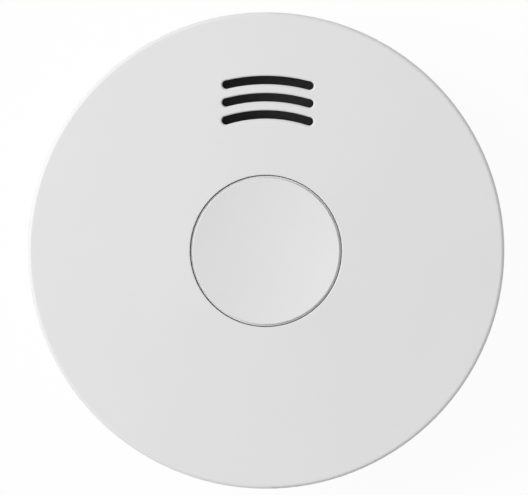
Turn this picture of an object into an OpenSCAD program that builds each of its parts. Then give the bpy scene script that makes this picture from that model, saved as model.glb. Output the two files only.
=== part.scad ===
// Ceiling smoke detector: a domed front cover with sound slots and a large test button, a ring of
// smoke inlet ribs, a rear housing that twists onto a bayonet plate, and the works inside.
// Sizes are in millimetres. The part lies on its back: z = 0 is the ceiling face of the mounting
// plate, +Z points out of the front face, and the sound slots are on the +Y side.

/* [Front cover] */
// Diameter of the front cover
cover_d = 118; // [112:1:126]
// Height of the cover's straight side
cover_side_h = 6.5; // [5.5:0.5:9]
// Rise of the domed face from its edge to its middle
cover_crown = 2; // [1:0.25:3]
// Wall of the cover
cover_wall = 2.2; // [1.8:0.1:2.8]
// Radius of the face's rounded edge
cover_edge_r = 1; // [0.6:0.1:1.6]
// Radius of the cover's rounded lower edge
cover_foot_r = 0.5; // [0.2:0.1:0.8]
// Depth of the flat seat for the inlet ring, under the edge of the face
cover_seat_h = 0.5; // [0.3:0.1:1]

/* [Sound slots] */
// Number of sound slots
slot_count = 3; // [2:1:3]
// Distance of the middle of the row of slots from the cover's edge
slot_inset = 21; // [20:0.5:23]
// Distance from slot to slot
slot_pitch = 4.25; // [3.5:0.25:4.75]
// Width of a slot
slot_w = 2.1; // [1.6:0.1:2.4]
// Length of a slot over its round ends
slot_len = 22.6; // [18:0.1:24]
// Softened edge of a slot
slot_edge = 0.3; // [0.1:0.05:0.4]
// Room between the slots and the sound collar behind them
slot_margin = 0.4; // [0.2:0.1:0.8]
// Wall of the sound collar
sound_collar_t = 1.2; // [1:0.1:1.5]

/* [Test button] */
// Diameter of the test button
button_d = 37.2; // [32:0.1:39]
// Gap round the test button
button_gap = 0.2; // [0.15:0.05:0.4]
// Width of the step round the button's face
button_step_w = 0.4; // [0.2:0.05:0.6]
// Depth of the step round the button's face
button_step_h = 0.7; // [0.4:0.1:1]
// Depth of the hollow in the button's face
button_dish = 0.9; // [0.4:0.05:1.2]
// Wall of the button's face, at its middle
button_wall = 1.8; // [1.4:0.1:2.4]
// Radius of the edges on both sides of the gap
button_edge_r = 0.2; // [0.1:0.05:0.3]
// Wall of the button's skirt
button_skirt_t = 1.2; // [1:0.1:1.6]
// Height of the guide collar round the button
guide_h = 5.2; // [4.6:0.1:6]
// Wall of the guide collar
guide_t = 1.6; // [1.2:0.1:2]
// Travel of the button when it is pressed
press_travel = 1; // [0.6:0.1:1.5]
// Number of snap hooks on the button
hook_count = 3; // [3:1:4]
// Width of a snap hook, in degrees
hook_arc = 16; // [12:1:20]
// Reach of a snap hook under the guide collar
hook_reach = 0.9; // [0.6:0.1:1.2]
// Height of a snap hook's nose
hook_h = 1.2; // [1:0.1:1.6]
// Width of the slits beside a snap hook
hook_slit_w = 0.8; // [0.6:0.1:1.2]
// Wall left above the slits beside a snap hook
hook_root_h = 0.5; // [0.3:0.1:0.8]
// Diameter of the post that presses the test switch
post_d = 5; // [4:0.5:6]
// Length of the ribs that brace the post
post_rib_l = 5; // [4:0.5:6]
// Height of the ribs that brace the post
post_rib_h = 5; // [3:0.5:6]
// Thickness of the ribs that brace the post
post_rib_t = 1.2; // [1:0.1:1.6]

/* [Smoke inlet] */
// Clear height of the smoke inlet under the cover's edge
inlet_h = 6; // [5:0.5:8]
// Number of ribs across the inlet
inlet_ribs = 72; // [48:4:80]
// Thickness of a rib
inlet_rib_t = 1.6; // [1.2:0.1:2]
// Radial depth of the ring of ribs
inlet_depth = 2.5; // [2.2:0.1:3]
// Height of the bands above and below the ribs
inlet_band_h = 1.2; // [1:0.1:1.6]
// Height of the spigot that centres the ring in the housing
inlet_spigot_h = 1.5; // [1:0.1:2]

/* [Rear housing] */
// Set-back of the housing's rim from the cover's edge
rim_setback = 1.5; // [1:0.25:2.5]
// Taper of the housing's side from its rim to its rear edge
housing_taper = 5; // [3:0.5:6]
// Wall of the housing's side
housing_wall = 2; // [1.6:0.1:2.4]
// Radius of the housing's rounded rear edge
housing_edge_r = 0.8; // [0.4:0.1:1.2]
// Floor of the housing
floor_t = 2; // [1.6:0.1:2.6]
// Wall of the skirt round the recess
skirt_wall = 3; // [2.4:0.2:3.6]
// Gap between the housing and the ceiling
ceiling_gap = 0.8; // [0.4:0.1:1.2]
// Depth of the recess that takes the mounting plate
recess_h = 7.2; // [7:0.1:9]
// Height from the housing's floor to its rim
inside_h = 11; // [10:0.5:13]

/* [Mounting plate] */
// Thickness of the mounting plate
plate_t = 2.2; // [1.8:0.1:2.8]
// Height of the plate's rim
plate_rim_h = 6.4; // [6.2:0.1:7]
// Wall of the plate's rim
plate_rim_t = 2; // [1.6:0.1:2.4]
// Number of bayonet lugs
lug_count = 3; // [3:1:4]
// Height of a bayonet lug
lug_h = 2; // [1.6:0.1:2.2]
// Distance of the plate's lugs below the top of its rim
lug_drop = 0.4; // [0.2:0.1:0.6]
// Reach of a bayonet lug
lug_reach = 2.4; // [2:0.1:2.8]
// Side clearance of the bayonet lugs
lug_side_gap = 0.4; // [0.3:0.05:0.6]
// Width of a lug on the plate, in degrees
plate_lug_arc = 20; // [16:1:22]
// Width of a lug on the housing, in degrees
housing_lug_arc = 16; // [12:1:18]
// Width of the stop beside a lug on the plate, in degrees
stop_arc = 2.5; // [2:0.5:4]
// Distance between opposite screw slots
screw_spacing = 60; // [50:1:68]
// Width of a screw slot
screw_slot_w = 4; // [3.5:0.1:4.6]
// Length of a screw slot over its round ends
screw_slot_len = 12; // [8:0.5:16]
// Width of the raised pad round a screw slot
pad_w = 3; // [2:0.5:4]
// Height of the raised pad round a screw slot
pad_h = 1; // [0.6:0.1:1.6]
// Diameter of the stiffening hub in the middle of the plate
plate_hub_d = 24; // [18:1:26]
// Thickness of the plate's stiffening ribs
plate_rib_t = 1.6; // [1.2:0.1:2]
// Height of the plate's stiffening ribs
plate_rib_h = 1.6; // [1:0.1:2.4]

/* [Circuit board] */
// Thickness of the board
board_t = 1.6; // [1.2:0.1:2]
// Height of the board above the housing's floor
board_lift = 4; // [3.6:0.1:5]
// Gap between the board and the housing's side
board_edge_gap = 0.8; // [0.6:0.1:1.5]
// Diameter of the posts that carry the board
board_post_d = 6.4; // [5.6:0.2:7]
// Thread diameter of the board screws
board_screw_d = 2.2; // [2:0.1:2.6]

/* [Cover screws] */
// Thread diameter of the cover screws
cover_screw_d = 3; // [2.6:0.1:3.4]
// Depth of thread in the cover's bosses
cover_screw_grip = 9; // [7:0.5:10]
// Diameter of the screw bosses
boss_d = 8.4; // [7.8:0.2:9]
// Gap between a screw boss and the housing's side
boss_side_gap = 3.2; // [2.5:0.1:4]
// Angle of the first screw boss
boss_angle = 43; // [40:1:46]
// Height above the board at which the bosses meet
boss_join_h = 2.5; // [1.5:0.5:4]

/* [Optical chamber] */
// Room between the chamber and the middle of the detector
chamber_mid_gap = 10.2; // [9:0.1:14]
// Room between the chamber and the edge of the board
chamber_edge_gap = 1; // [0.6:0.1:2]
// Direction of the chamber from the middle of the detector
chamber_turn = 207; // [203:1:211]
// Number of light-trap vanes
vane_count = 24; // [18:1:28]
// Thickness of a vane
vane_t = 0.9; // [0.7:0.1:1.1]
// Radial depth of the vanes
vane_depth = 5.2; // [4.5:0.1:6]
// Bend of a vane, in degrees round the chamber
vane_bend = 12; // [9:1:14]
// Thickness of the chamber's floor
chamber_floor_t = 2; // [1.6:0.1:2.6]
// Thickness of the flange under the insect screen
chamber_flange_t = 1.2; // [0.8:0.1:1.5]
// Width of the flange past the insect screen
chamber_flange_w = 0.5; // [0.3:0.1:1]
// Thickness of the chamber's lid
chamber_lid_t = 1.4; // [1:0.1:1.8]
// Thickness of the insect screen
screen_t = 0.3; // [0.2:0.05:0.4]
// Number of upright bars in the insect screen
screen_bars = 60; // [40:2:72]
// Number of hoops in the insect screen
screen_hoops = 6; // [4:1:8]
// Width of the screen's bars and hoops
screen_bar_w = 0.4; // [0.3:0.05:0.6]
// Diameter of the infrared lamp and of the photodiode
optic_d = 5; // [4:0.1:5.2]
// Room between the optics' tips and the middle of the chamber
optic_tip_gap = 3.9; // [3.4:0.1:5]
// Angle between the infrared lamp and the photodiode
optic_angle = 140; // [120:5:150]

/* [Horn] */
// Diameter of the brass sounder disc
piezo_d = 25; // [22:0.5:26]
// Thickness of the brass sounder disc
piezo_t = 0.3; // [0.2:0.05:0.4]
// Diameter of the ceramic on the disc
ceramic_d = 18; // [14:0.5:20]
// Thickness of the ceramic
ceramic_t = 0.25; // [0.15:0.05:0.4]
// Height of the horn's cup
horn_cup_h = 7; // [6:0.2:8]
// Height of the shelf under the disc
horn_shelf_h = 3.5; // [3:0.1:4.5]
// Width of the shelf under the disc
horn_shelf_w = 1; // [0.8:0.1:1.4]
// Least wall of the cup round the disc
horn_wall = 1.2; // [1:0.1:1.6]
// Thickness of the horn's cap
horn_cap_t = 1.4; // [1:0.1:2]
// Diameter of the sound hole in the cap
horn_hole_d = 5; // [4:0.5:6]
// Land between the sound hole and the cap's spigot
horn_hole_land = 1; // [0.5:0.25:2]
// Thickness of the foam ring on the cap
gasket_t = 1; // [0.6:0.1:1.5]

/* [Test switch and lamp] */
// Width of the test switch
switch_w = 6; // [5:0.5:7]
// Height of the test switch's body
switch_h = 3.5; // [3:0.1:4.5]
// Diameter of the test switch's plunger
plunger_d = 3.4; // [2.8:0.1:3.8]
// Length of the plunger guided in the body
plunger_guide = 1.2; // [0.8:0.1:1.4]
// Distance of the lamp from the middle
lamp_x = 9; // [8.5:0.5:11]
// Diameter of the lamp
lamp_d = 3; // [2.6:0.1:3.4]
// Height of the lamp
lamp_h = 5.3; // [4.5:0.1:6]
// Diameter of the light guide
light_guide_d = 4; // [3.4:0.1:4.6]
// Depth of the light guide's socket under the button
light_socket_h = 3; // [2:0.5:4]

/* [Power switch] */
// Distance of the power switch from the edge of the board
power_inset = 24; // [22:0.5:26]
// Direction of the power switch from the middle of the detector
power_turn = 290; // [286:1:294]
// Length of the power switch's body
power_l = 9; // [8.4:0.2:10]
// Width of the power switch's body
power_w = 4; // [3.6:0.2:5]
// Travel of the slider
power_travel = 2; // [1.5:0.1:2.5]
// Length of the slider's knob
knob_l = 3; // [2.4:0.1:3.4]
// Width of the slider's knob
knob_w = 2.4; // [2:0.1:2.8]
// Depth of the knob's end below the housing's rear face
knob_sink = 0.5; // [0.3:0.1:1]

/* [Battery] */
// Diameter of the cell
cell_d = 17; // [15:0.5:17.5]
// Length of the cell over its contact
cell_len = 34.5; // [30:0.5:36]
// Height of the cell above the housing's floor
cell_lift = 0.6; // [0.4:0.1:1]
// Gap between the cell's corners and the housing's side
cell_side_gap = 3; // [2.6:0.1:4]
// Thickness of the cradle's walls
cradle_t = 2; // [1.6:0.1:2.4]
// Height of the saddles under the cell
saddle_h = 5; // [3:0.5:6]
// Distance between the two saddles
saddle_span = 18; // [14:1:20]
// Thickness of the welded tabs
tab_t = 0.3; // [0.2:0.05:0.4]
// Width of the welded tabs
tab_w = 4; // [3:0.5:5]

/* [Small components] */
// Length of the microcontroller
chip_l = 9.9; // [8:0.1:11]
// Width of the microcontroller's body
chip_w = 3.9; // [3.5:0.1:4.5]
// Height of the microcontroller
chip_h = 1.6; // [1.2:0.1:1.9]
// Number of legs on each side of the microcontroller
chip_legs = 8; // [6:1:8]
// Diameter of the storage capacitor
can_d = 6.3; // [5:0.1:7]
// Height of the storage capacitor
can_h = 7.5; // [5.5:0.5:8]
// Diameter of the horn coil's flanges
coil_d = 8.5; // [7:0.5:9.5]
// Height of the horn coil
coil_h = 7; // [5:0.5:8]

/* [Fits] */
// Clearance between pieces that are fitted together
fit = 0.1; // [0.05:0.05:0.15]
// Clearance between pieces that move
run = 0.3; // [0.2:0.05:0.4]

/* [Hidden] */
$fn = 96;

// How far one feature runs into the next where the two are one piece
weld = 0.4;
// How far a cutter runs past the face that it opens
past = 1;
// How far the flare of a sound slot's cutter runs past the slot's edge
flare_past = 0.6;
// How much wider a sound slot's round ends are cut than the slot, on each side
slot_end_swell = 0.02;
// Number of steps round the large circles of the domed face and the button's hollow
dome_steps = 720;

// Heights, from the ceiling to the face
floor_back_z = ceiling_gap + recess_h;
floor_z = floor_back_z + floor_t;
board_z = floor_z + board_lift;
board_top_z = board_z + board_t;
rim_z = floor_z + inside_h;
cover_low_z = rim_z + inlet_h;
face_edge_z = cover_low_z + cover_side_h;
face_top_z = face_edge_z + cover_crown;

// Radii, from the cover's edge inwards
cover_r = cover_d / 2;
cover_in_r = cover_r - cover_wall;
rim_r = cover_r - rim_setback;
rim_in_r = rim_r - housing_wall;
rear_r = rim_r - housing_taper;
recess_r = rear_r - skirt_wall;
plate_lug_r = recess_r - lug_side_gap;
plate_r = plate_lug_r - lug_reach;
housing_lug_r = plate_r + lug_side_gap;
plate_in_r = plate_r - plate_rim_t;

// The housing's lugs lie behind the plate's
plate_lug_z = plate_rim_h - lug_drop - lug_h;
housing_lug_z = plate_lug_z - run - lug_h;

// The domed face is part of a sphere; its height at a radius, and the cover's underside there
dome_r = (cover_r * cover_r + cover_crown * cover_crown) / (2 * cover_crown);
dome_z = face_top_z - dome_r;
function sphere_z(radius, r) = dome_z + sqrt(radius * radius - r * r);
function face_z(r) = sphere_z(dome_r, r);
function under_z(r) = sphere_z(dome_r - cover_wall, r);

// The housing's side is an arc that swells from its rear edge and stands upright at its rim
side_h = rim_z - ceiling_gap;
side_r = (housing_taper * housing_taper + side_h * side_h) / (2 * housing_taper);
side_x = rim_r - side_r;
function side_at(radius, z) = side_x + sqrt(radius * radius - pow(rim_z - z, 2));
inside_r = side_at(side_r - housing_wall, floor_z);

// Ring of inlet ribs, between the housing's rim and the seat under the cover's face
grille_out_r = cover_in_r - run;
grille_in_r = grille_out_r - inlet_depth;
grille_top_z = under_z(cover_in_r) - cover_seat_h;

// Test button, its guide collar and its snap hooks
button_r = button_d / 2;
button_hole_r = button_r + button_gap;
button_rim_z = face_z(button_hole_r);
button_under_z = button_rim_z - button_dish - button_wall;
guide_r = button_hole_r + guide_t;
guide_z = button_rim_z - guide_h;
hook_top_z = guide_z - run;
hook_low_z = hook_top_z - hook_h;
hook_turn = 25;

// Test switch, plunger, lamp and light guide
switch_top_z = board_top_z + switch_h;
plunger_low_z = switch_top_z - plunger_guide;
plunger_top_z = switch_top_z + press_travel + run;
lamp_top_z = board_top_z + lamp_h;
light_guide_z = lamp_top_z + press_travel + run;

// Sound slots, and the collar and the horn behind them
slot_mid_r = cover_r - slot_inset;
slot_rs = [for (i = [0:slot_count - 1]) slot_mid_r + (i - (slot_count - 1) / 2) * slot_pitch];
slot_x = (slot_len - slot_w) / 2;
function slot_y(r) = sqrt(r * r - slot_x * slot_x);
horn_y = (slot_mid_r + slot_y(slot_mid_r)) / 2;
slot_reach = max([for (r = slot_rs) norm([slot_x, slot_y(r) - horn_y])]) + slot_w / 2 + slot_edge;
sound_collar_in_r = slot_reach + slot_margin;
sound_collar_r = sound_collar_in_r + sound_collar_t;
piezo_pocket_r = piezo_d / 2 + fit;
horn_r = max(sound_collar_r, piezo_pocket_r + horn_wall);
horn_shelf_z = board_top_z + horn_shelf_h;
horn_cup_z = board_top_z + horn_cup_h;
horn_cap_z = horn_cup_z + horn_cap_t;
gasket_top_z = horn_cap_z + gasket_t;

// Circuit board, its screws and the cover's screws
board_r = inside_r - board_edge_gap;
board_screw_shares = [[-0.57, 0.45], [0.36, 0.45], [-0.06, -0.81]];
board_screw_at = [for (share = board_screw_shares) board_r * share];
board_screw_head_d = 2 * board_screw_d;
board_screw_head_h = 1.5;
board_screw_end_gap = 0.5;
board_screw_l = board_t + board_lift - board_screw_end_gap;
boss_at_r = inside_r - boss_d / 2 - boss_side_gap;
boss_angles = [for (i = [0:2]) boss_angle + 120 * i];
boss_join_z = board_top_z + boss_join_h;
boss_step = 1;
cover_boss_d = boss_d - boss_step;
cover_screw_head_d = 1.9 * cover_screw_d;
cover_screw_head_h = 0.65 * cover_screw_d;
cover_screw_sink = 0.8;
cover_screw_seat_z = floor_back_z + cover_screw_sink + cover_screw_head_h;
cover_screw_play = 0.25;
cover_screw_top_z = boss_join_z + cover_screw_grip;
pilot_share = 0.84;

// Optical chamber: floor, vanes, screen and lid, below the pressed button's hooks
chamber_r = (board_r - chamber_edge_gap - chamber_mid_gap) / 2;
chamber_at = polar(chamber_mid_gap + chamber_r, chamber_turn);
screen_r = chamber_r - chamber_flange_w;
screen_in_r = screen_r - screen_t;
vane_r = screen_in_r - fit;
vane_in_r = vane_r - vane_depth;
chamber_floor_z = board_top_z + chamber_floor_t;
chamber_flange_z = board_top_z + chamber_flange_t;
chamber_top_z = hook_low_z - press_travel - run;
chamber_lid_z = chamber_top_z - chamber_lid_t;
optic_z = (chamber_floor_z + chamber_lid_z) / 2;
optic_flange_w = 0.4;
optic_flange_d = optic_d + 2 * optic_flange_w;
optic_flange_h = 1;
optic_lead_w = 0.5;
optic_lead_pitch = 2.54;
optic_lead_l = 0.8;
optic_r = vane_in_r - optic_lead_l - 3 * optic_lead_w;
optic_len = optic_r - optic_tip_gap;
optic_turns = [chamber_turn - optic_angle / 2, chamber_turn + optic_angle / 2];
optic_holder_t = 1.2;
optic_holder_w = optic_d + 2 * optic_holder_t;

// Battery, its cradle and its tabs
cell_r = cell_d / 2;
cell_x = sqrt(pow(inside_r - cell_side_gap, 2) - pow(cell_len / 2, 2)) - cell_r;
cell_z = floor_z + cell_lift + cell_r;
cell_nub_d = 0.38 * cell_d;
cell_nub_h = 1.1;
cell_edge_r = 0.8;
board_cut_gap = 1.5;
board_cut_x = cell_x - cell_r - board_cut_gap;
tab_foot_w = 3;
tab_foot_inset = 1.5;
tab_foot_x = board_cut_x - tab_foot_w - tab_foot_inset;
tab_reach = 3;

// Power switch under the board, reached from the rear
power_at = polar(board_r - power_inset, power_turn);
power_floor_gap = 0.8;
power_low_z = floor_z + power_floor_gap;
stem_l = 1.8;
stem_w = 1.6;
power_roof_t = 1.1;
stem_z = board_z - power_roof_t - run;
knob_top_z = power_low_z - run;
knob_low_z = floor_back_z + knob_sink;

// Places of the small components on the board, some beside its straight edge
chip_at = [board_cut_x - 11.3, -13];
can_at = [board_cut_x - 14.3, 14.5];
coil_at = [board_cut_x - 7.3, 6.5];
chip_rows_at = [[board_cut_x - 18, -20], [-0.45 * board_r, 0.28 * board_r]];

function polar(r, a) = [r * cos(a), r * sin(a)];
// Evenly spaced values
function steps(a, b, n) = [for (i = [0:n]) a + (b - a) * i / n];

module around(count) {
  for (i = [0:count - 1])
    rotate(360 / count * i)
      children();
}

module at(places, z = 0) {
  for (p = places)
    translate([p.x, p.y, z])
      children();
}

module ring(r_in, r_out, z0, z1) {
  rotate_extrude()
    translate([r_in, z0])
      square([r_out - r_in, z1 - z0]);
}

// Part of a ring, centred on the X axis
module ring_sector(r_in, r_out, z0, z1, degrees) {
  rotate(-degrees / 2)
    rotate_extrude(angle = degrees)
      translate([r_in, z0])
        square([r_out - r_in, z1 - z0]);
}

// Rounds an outer corner of a section: c is the centre of the rounding, between the angles a0 and a1
module rounded(c, r, a0, a1) {
  wedge = [c, c + polar(2 * r, a0), c + polar(3 * r, (a0 + a1) / 2), c + polar(2 * r, a1)];
  difference() {
    children();
    polygon(wedge);
  }
  intersection() {
    translate(c)
      circle(r);
    polygon(wedge);
  }
}

// Part of a section to the right of the axis, between two heights
module span(r0, r1, z0, z1) {
  translate([r0, z0])
    square([r1 - r0, z1 - z0]);
}

// Section of a ball centred on the face's own centre
module dome(radius) {
  translate([0, dome_z])
    circle(radius, $fn = dome_steps);
}

// Slot or pad with round ends, along X
module stadium(length, width, height) {
  straight = length - width;
  translate([-straight / 2, -width / 2, 0])
    cube([straight, width, height]);
  for (s = [-1, 1])
    translate([s * straight / 2, 0, 0])
      cylinder(d = width, h = height);
}

// Box centred in X and Y on the given height
module block(size, z) {
  translate([-size.x / 2, -size.y / 2, z])
    cube(size);
}

// Plate that is screwed to the ceiling: a dish with a rim, bayonet lugs and four screw slots
module mounting_plate() {
  edge = 0.5;
  stop_turn = (housing_lug_arc + stop_arc) / 2 + run / plate_r * 180 / PI;
  color("gainsboro")
    difference() {
      union() {
        rotate_extrude()
          polygon([
            [0, 0], [plate_r - edge, 0], [plate_r, edge], [plate_r, plate_rim_h],
            [plate_in_r, plate_rim_h], [plate_in_r, plate_t], [0, plate_t]
          ]);
        around(lug_count) {
          ring_sector(plate_r - weld, plate_lug_r, plate_lug_z, plate_lug_z + lug_h, plate_lug_arc);
          rotate(-stop_turn)
            ring_sector(plate_r - 2 * weld, plate_lug_r - run, plate_t, plate_lug_z + lug_h / 2, stop_arc);
        }
        plate_ribs();
        around(4)
          translate([screw_spacing / 2, 0, plate_t - weld])
            stadium(screw_slot_len + 2 * pad_w, screw_slot_w + 2 * pad_w, pad_h + weld);
      }
      around(4)
        translate([screw_spacing / 2, 0, -past])
          stadium(screw_slot_len, screw_slot_w, plate_t + pad_h + 2 * past);
    }
}

// Stiffening hub and spokes on the front of the plate
module plate_ribs() {
  hub_r = plate_hub_d / 2;
  low_z = plate_t - weld;
  ring(hub_r - plate_rib_t, hub_r, low_z, plate_t + plate_rib_h);
  rotate(45)
    around(4)
      translate([hub_r - plate_rib_t / 2, -plate_rib_t / 2, low_z])
        cube([plate_in_r - hub_r + plate_rib_t / 2 + weld, plate_rib_t, plate_rib_h + weld]);
}

// Moulded base: a flared side, a floor with the posts and the cradle, and the bayonet recess
module rear_housing() {
  color("gainsboro")
    difference() {
      union() {
        rotate_extrude()
          housing_section();
        around(lug_count)
          ring_sector(
            housing_lug_r, recess_r + weld, housing_lug_z, housing_lug_z + lug_h, housing_lug_arc
          );
        at(board_screw_at, floor_z - weld)
          cylinder(d = board_post_d, h = board_lift + weld);
        for (a = boss_angles)
          rotate(a)
            translate([boss_at_r, 0, floor_z - weld])
              cylinder(d = boss_d, h = boss_join_z - floor_z + weld);
        cell_cradle();
      }
      at(board_screw_at, floor_z)
        cylinder(d = board_screw_d * pilot_share + fit, h = board_lift + past);
      for (a = boss_angles)
        rotate(a)
          translate([boss_at_r, 0, 0])
            cover_screw_way();
      at([power_at])
        block([knob_l + power_travel + 2 * run, knob_w + 2 * run, floor_t + 2 * past], floor_back_z - past);
    }
}

// Section of the housing: swelling side, floor and recess, with a rounded rear edge
module housing_section() {
  edge_z = ceiling_gap + housing_edge_r;
  edge_c = [side_at(side_r - housing_edge_r, edge_z), edge_z];
  rounded(edge_c, housing_edge_r, -90, atan2(edge_z - rim_z, edge_c.x - side_x))
    difference() {
      intersection() {
        translate([side_x, rim_z])
          circle(side_r);
        span(0, cover_r, ceiling_gap, rim_z);
      }
      intersection() {
        translate([side_x, rim_z])
          circle(side_r - housing_wall);
        span(0, cover_r, floor_z, rim_z + past);
      }
      span(0, recess_r, ceiling_gap - past, floor_back_z);
    }
}

// Clearance hole of a cover screw, with the recess for its head
module cover_screw_way() {
  translate([0, 0, floor_back_z - past])
    cylinder(d = cover_screw_head_d + 2 * run, h = cover_screw_seat_z - floor_back_z + past);
  translate([0, 0, floor_back_z])
    cylinder(d = cover_screw_d + 2 * cover_screw_play, h = boss_join_z - floor_back_z + past);
}

// Saddles under the cell and stops at its ends
module cell_cradle() {
  stop_y = cell_len / 2 + tab_t + fit + cradle_t / 2;
  stop_w = cell_r;
  difference() {
    for (s = [-1, 1])
      translate([cell_x, s * saddle_span / 2, 0])
        block([cell_d + cradle_t, cradle_t, saddle_h + weld], floor_z - weld);
    translate([cell_x, 0, cell_z])
      rotate([90, 0, 0])
        cylinder(r = cell_r + fit, h = saddle_span + 2 * cradle_t, center = true);
  }
  for (s = [-1, 1])
    translate([cell_x, s * stop_y, 0])
      block([stop_w, cradle_t, cell_z - floor_z + weld], floor_z - weld);
}

// Ring of ribs in the smoke inlet, centred in the housing's rim by a spigot
module smoke_grille() {
  rib_inset = 0.2;
  rib_low_z = rim_z + inlet_band_h - weld;
  rib_top_z = grille_top_z - inlet_band_h + weld;
  color("silver")
    union() {
      rotate_extrude()
        polygon([
          [grille_in_r, rim_z - inlet_spigot_h], [rim_in_r - fit, rim_z - inlet_spigot_h],
          [rim_in_r - fit, rim_z], [grille_out_r, rim_z],
          [grille_out_r, rim_z + inlet_band_h], [grille_in_r, rim_z + inlet_band_h]
        ]);
      ring(grille_in_r, grille_out_r, grille_top_z - inlet_band_h, grille_top_z);
      around(inlet_ribs)
        translate([grille_in_r + rib_inset, -inlet_rib_t / 2, rib_low_z])
          cube([inlet_depth - 2 * rib_inset, inlet_rib_t, rib_top_z - rib_low_z]);
    }
}

// Front shell: domed face, rounded rim, button guide, sound collar, screw bosses and cell ribs
module front_cover() {
  color("gainsboro")
    difference() {
      union() {
        rotate_extrude()
          cover_section();
        intersection() {
          under_face();
          union() {
            translate([0, horn_y, 0])
              ring(sound_collar_in_r, sound_collar_r, gasket_top_z, face_top_z);
            for (a = boss_angles)
              rotate(a)
                translate([boss_at_r, 0, boss_join_z])
                  cylinder(d = cover_boss_d, h = face_top_z - boss_join_z);
            cell_ribs();
          }
        }
      }
      for (r = slot_rs)
        sound_slot(r);
      for (a = boss_angles)
        rotate(a)
          translate([boss_at_r, 0, boss_join_z - past])
            cylinder(d = cover_screw_d * pilot_share + fit, h = cover_screw_grip + 2 * past);
    }
}

// Section of the cover: domed face, rounded edges, side wall, seat of the inlet ring, button guide
module cover_section() {
  edge_x = cover_r - cover_edge_r;
  edge_c = [edge_x, sphere_z(dome_r - cover_edge_r, edge_x)];
  lip_x = button_hole_r + button_edge_r;
  lip_c = [lip_x, sphere_z(dome_r - button_edge_r, lip_x)];
  foot_c = [cover_r - cover_foot_r, cover_low_z + cover_foot_r];
  seat_in_r = grille_in_r - run;
  rounded(edge_c, cover_edge_r, 0, atan2(edge_c.y - dome_z, edge_x))
    rounded(lip_c, button_edge_r, atan2(lip_c.y - dome_z, lip_x), 180)
      rounded(foot_c, cover_foot_r, -90, 0)
        difference() {
          intersection() {
            dome(dome_r);
            span(button_hole_r, cover_r, cover_low_z, face_top_z);
          }
          span(button_hole_r - past, guide_r + weld, cover_low_z - past, guide_z);
          intersection() {
            dome(dome_r - cover_wall);
            span(guide_r, seat_in_r, cover_low_z - past, face_top_z);
          }
          span(seat_in_r - weld, cover_in_r, cover_low_z - past, grille_top_z);
        }
}

// Space inside the cover, up to the middle of its wall, which the inner features fill
module under_face() {
  rotate_extrude()
    intersection() {
      dome(dome_r - cover_wall / 2);
      span(guide_r, grille_in_r, floor_z, face_top_z);
    }
}

// Ribs under the cover that hold the cell down
module cell_ribs() {
  difference() {
    for (s = [-1, 1])
      translate([cell_x, s * saddle_span / 2, 0])
        block([cell_r, cradle_t, face_top_z - cell_z], cell_z);
    translate([cell_x, 0, cell_z])
      rotate([90, 0, 0])
        cylinder(r = cell_r + fit, h = saddle_span + 2 * cradle_t, center = true);
  }
}

// Cutter for one curved slot with round ends and softened edges, at a radius on the face
module sound_slot(r) {
  half_turn = asin(slot_x / r);
  low_z = under_z(r) - past;
  edge_z = face_z(r) - slot_edge;
  rise = slot_edge + flare_past;
  side = [[slot_w / 2, low_z], [slot_w / 2, edge_z], [slot_w / 2 + rise, edge_z + rise]];
  far_side = [for (i = [len(side) - 1:-1:0]) [-side[i].x, side[i].y]];
  rotate(90 - half_turn)
    rotate_extrude(angle = 2 * half_turn)
      translate([r, 0])
        polygon(concat(side, far_side));
  for (s = [-1, 1])
    rotate(90 + s * half_turn)
      translate([r, 0, 0])
        rotate_extrude()
          polygon(concat([for (p = side) p + [slot_end_swell, 0]], [[0, edge_z + rise], [0, low_z]]));
}

// Dished button with a skirt, snap hooks, the switch post and the light guide's socket
module test_button() {
  skirt_in_r = button_r - button_skirt_t;
  socket_r = light_guide_d / 2 + fit;
  socket_wall = 1;
  slit_low_z = hook_low_z - past;
  slit = [button_skirt_t + 2 * past, hook_slit_w, button_under_z - hook_root_h - slit_low_z];
  color("gainsboro")
    difference() {
      union() {
        rotate_extrude()
          button_section(skirt_in_r);
        rotate(hook_turn)
          around(hook_count)
            snap_hook(skirt_in_r);
        translate([0, 0, plunger_top_z + fit])
          cylinder(d = post_d, h = button_under_z - plunger_top_z - fit + weld);
        rotate(45)
          around(4)
            translate([0, -post_rib_t / 2, button_under_z - post_rib_h])
              cube([post_d / 2 + post_rib_l, post_rib_t, post_rib_h + weld]);
        translate([lamp_x, 0, 0])
          ring(socket_r, socket_r + socket_wall, button_under_z - light_socket_h, button_under_z + weld);
      }
      rotate(hook_turn)
        around(hook_count)
          for (s = [-1, 1])
            rotate(s * hook_arc / 2)
              translate([skirt_in_r - past, (s - 1) * hook_slit_w / 2, slit_low_z])
                cube(slit);
    }
}

// Section of the button: hollow face with a rounded edge, the step round it and the skirt
module button_section(skirt_in_r) {
  raised_r = button_r - button_step_w;
  edge_c = [raised_r - button_edge_r, button_rim_z - button_edge_r];
  hollow_r = (edge_c.x * edge_c.x + button_dish * button_dish) / (2 * button_dish);
  hollow_z = edge_c.y + hollow_r - button_dish;
  rounded(edge_c, button_edge_r, 0, atan2(hollow_z - edge_c.y, -edge_c.x))
    difference() {
      union() {
        span(0, raised_r, guide_z, button_rim_z + button_dish);
        span(0, button_r, guide_z, button_rim_z - button_step_h);
      }
      translate([0, hollow_z])
        circle(hollow_r - button_edge_r, $fn = dome_steps);
      span(0, skirt_in_r, guide_z - past, button_under_z);
    }
}

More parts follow.
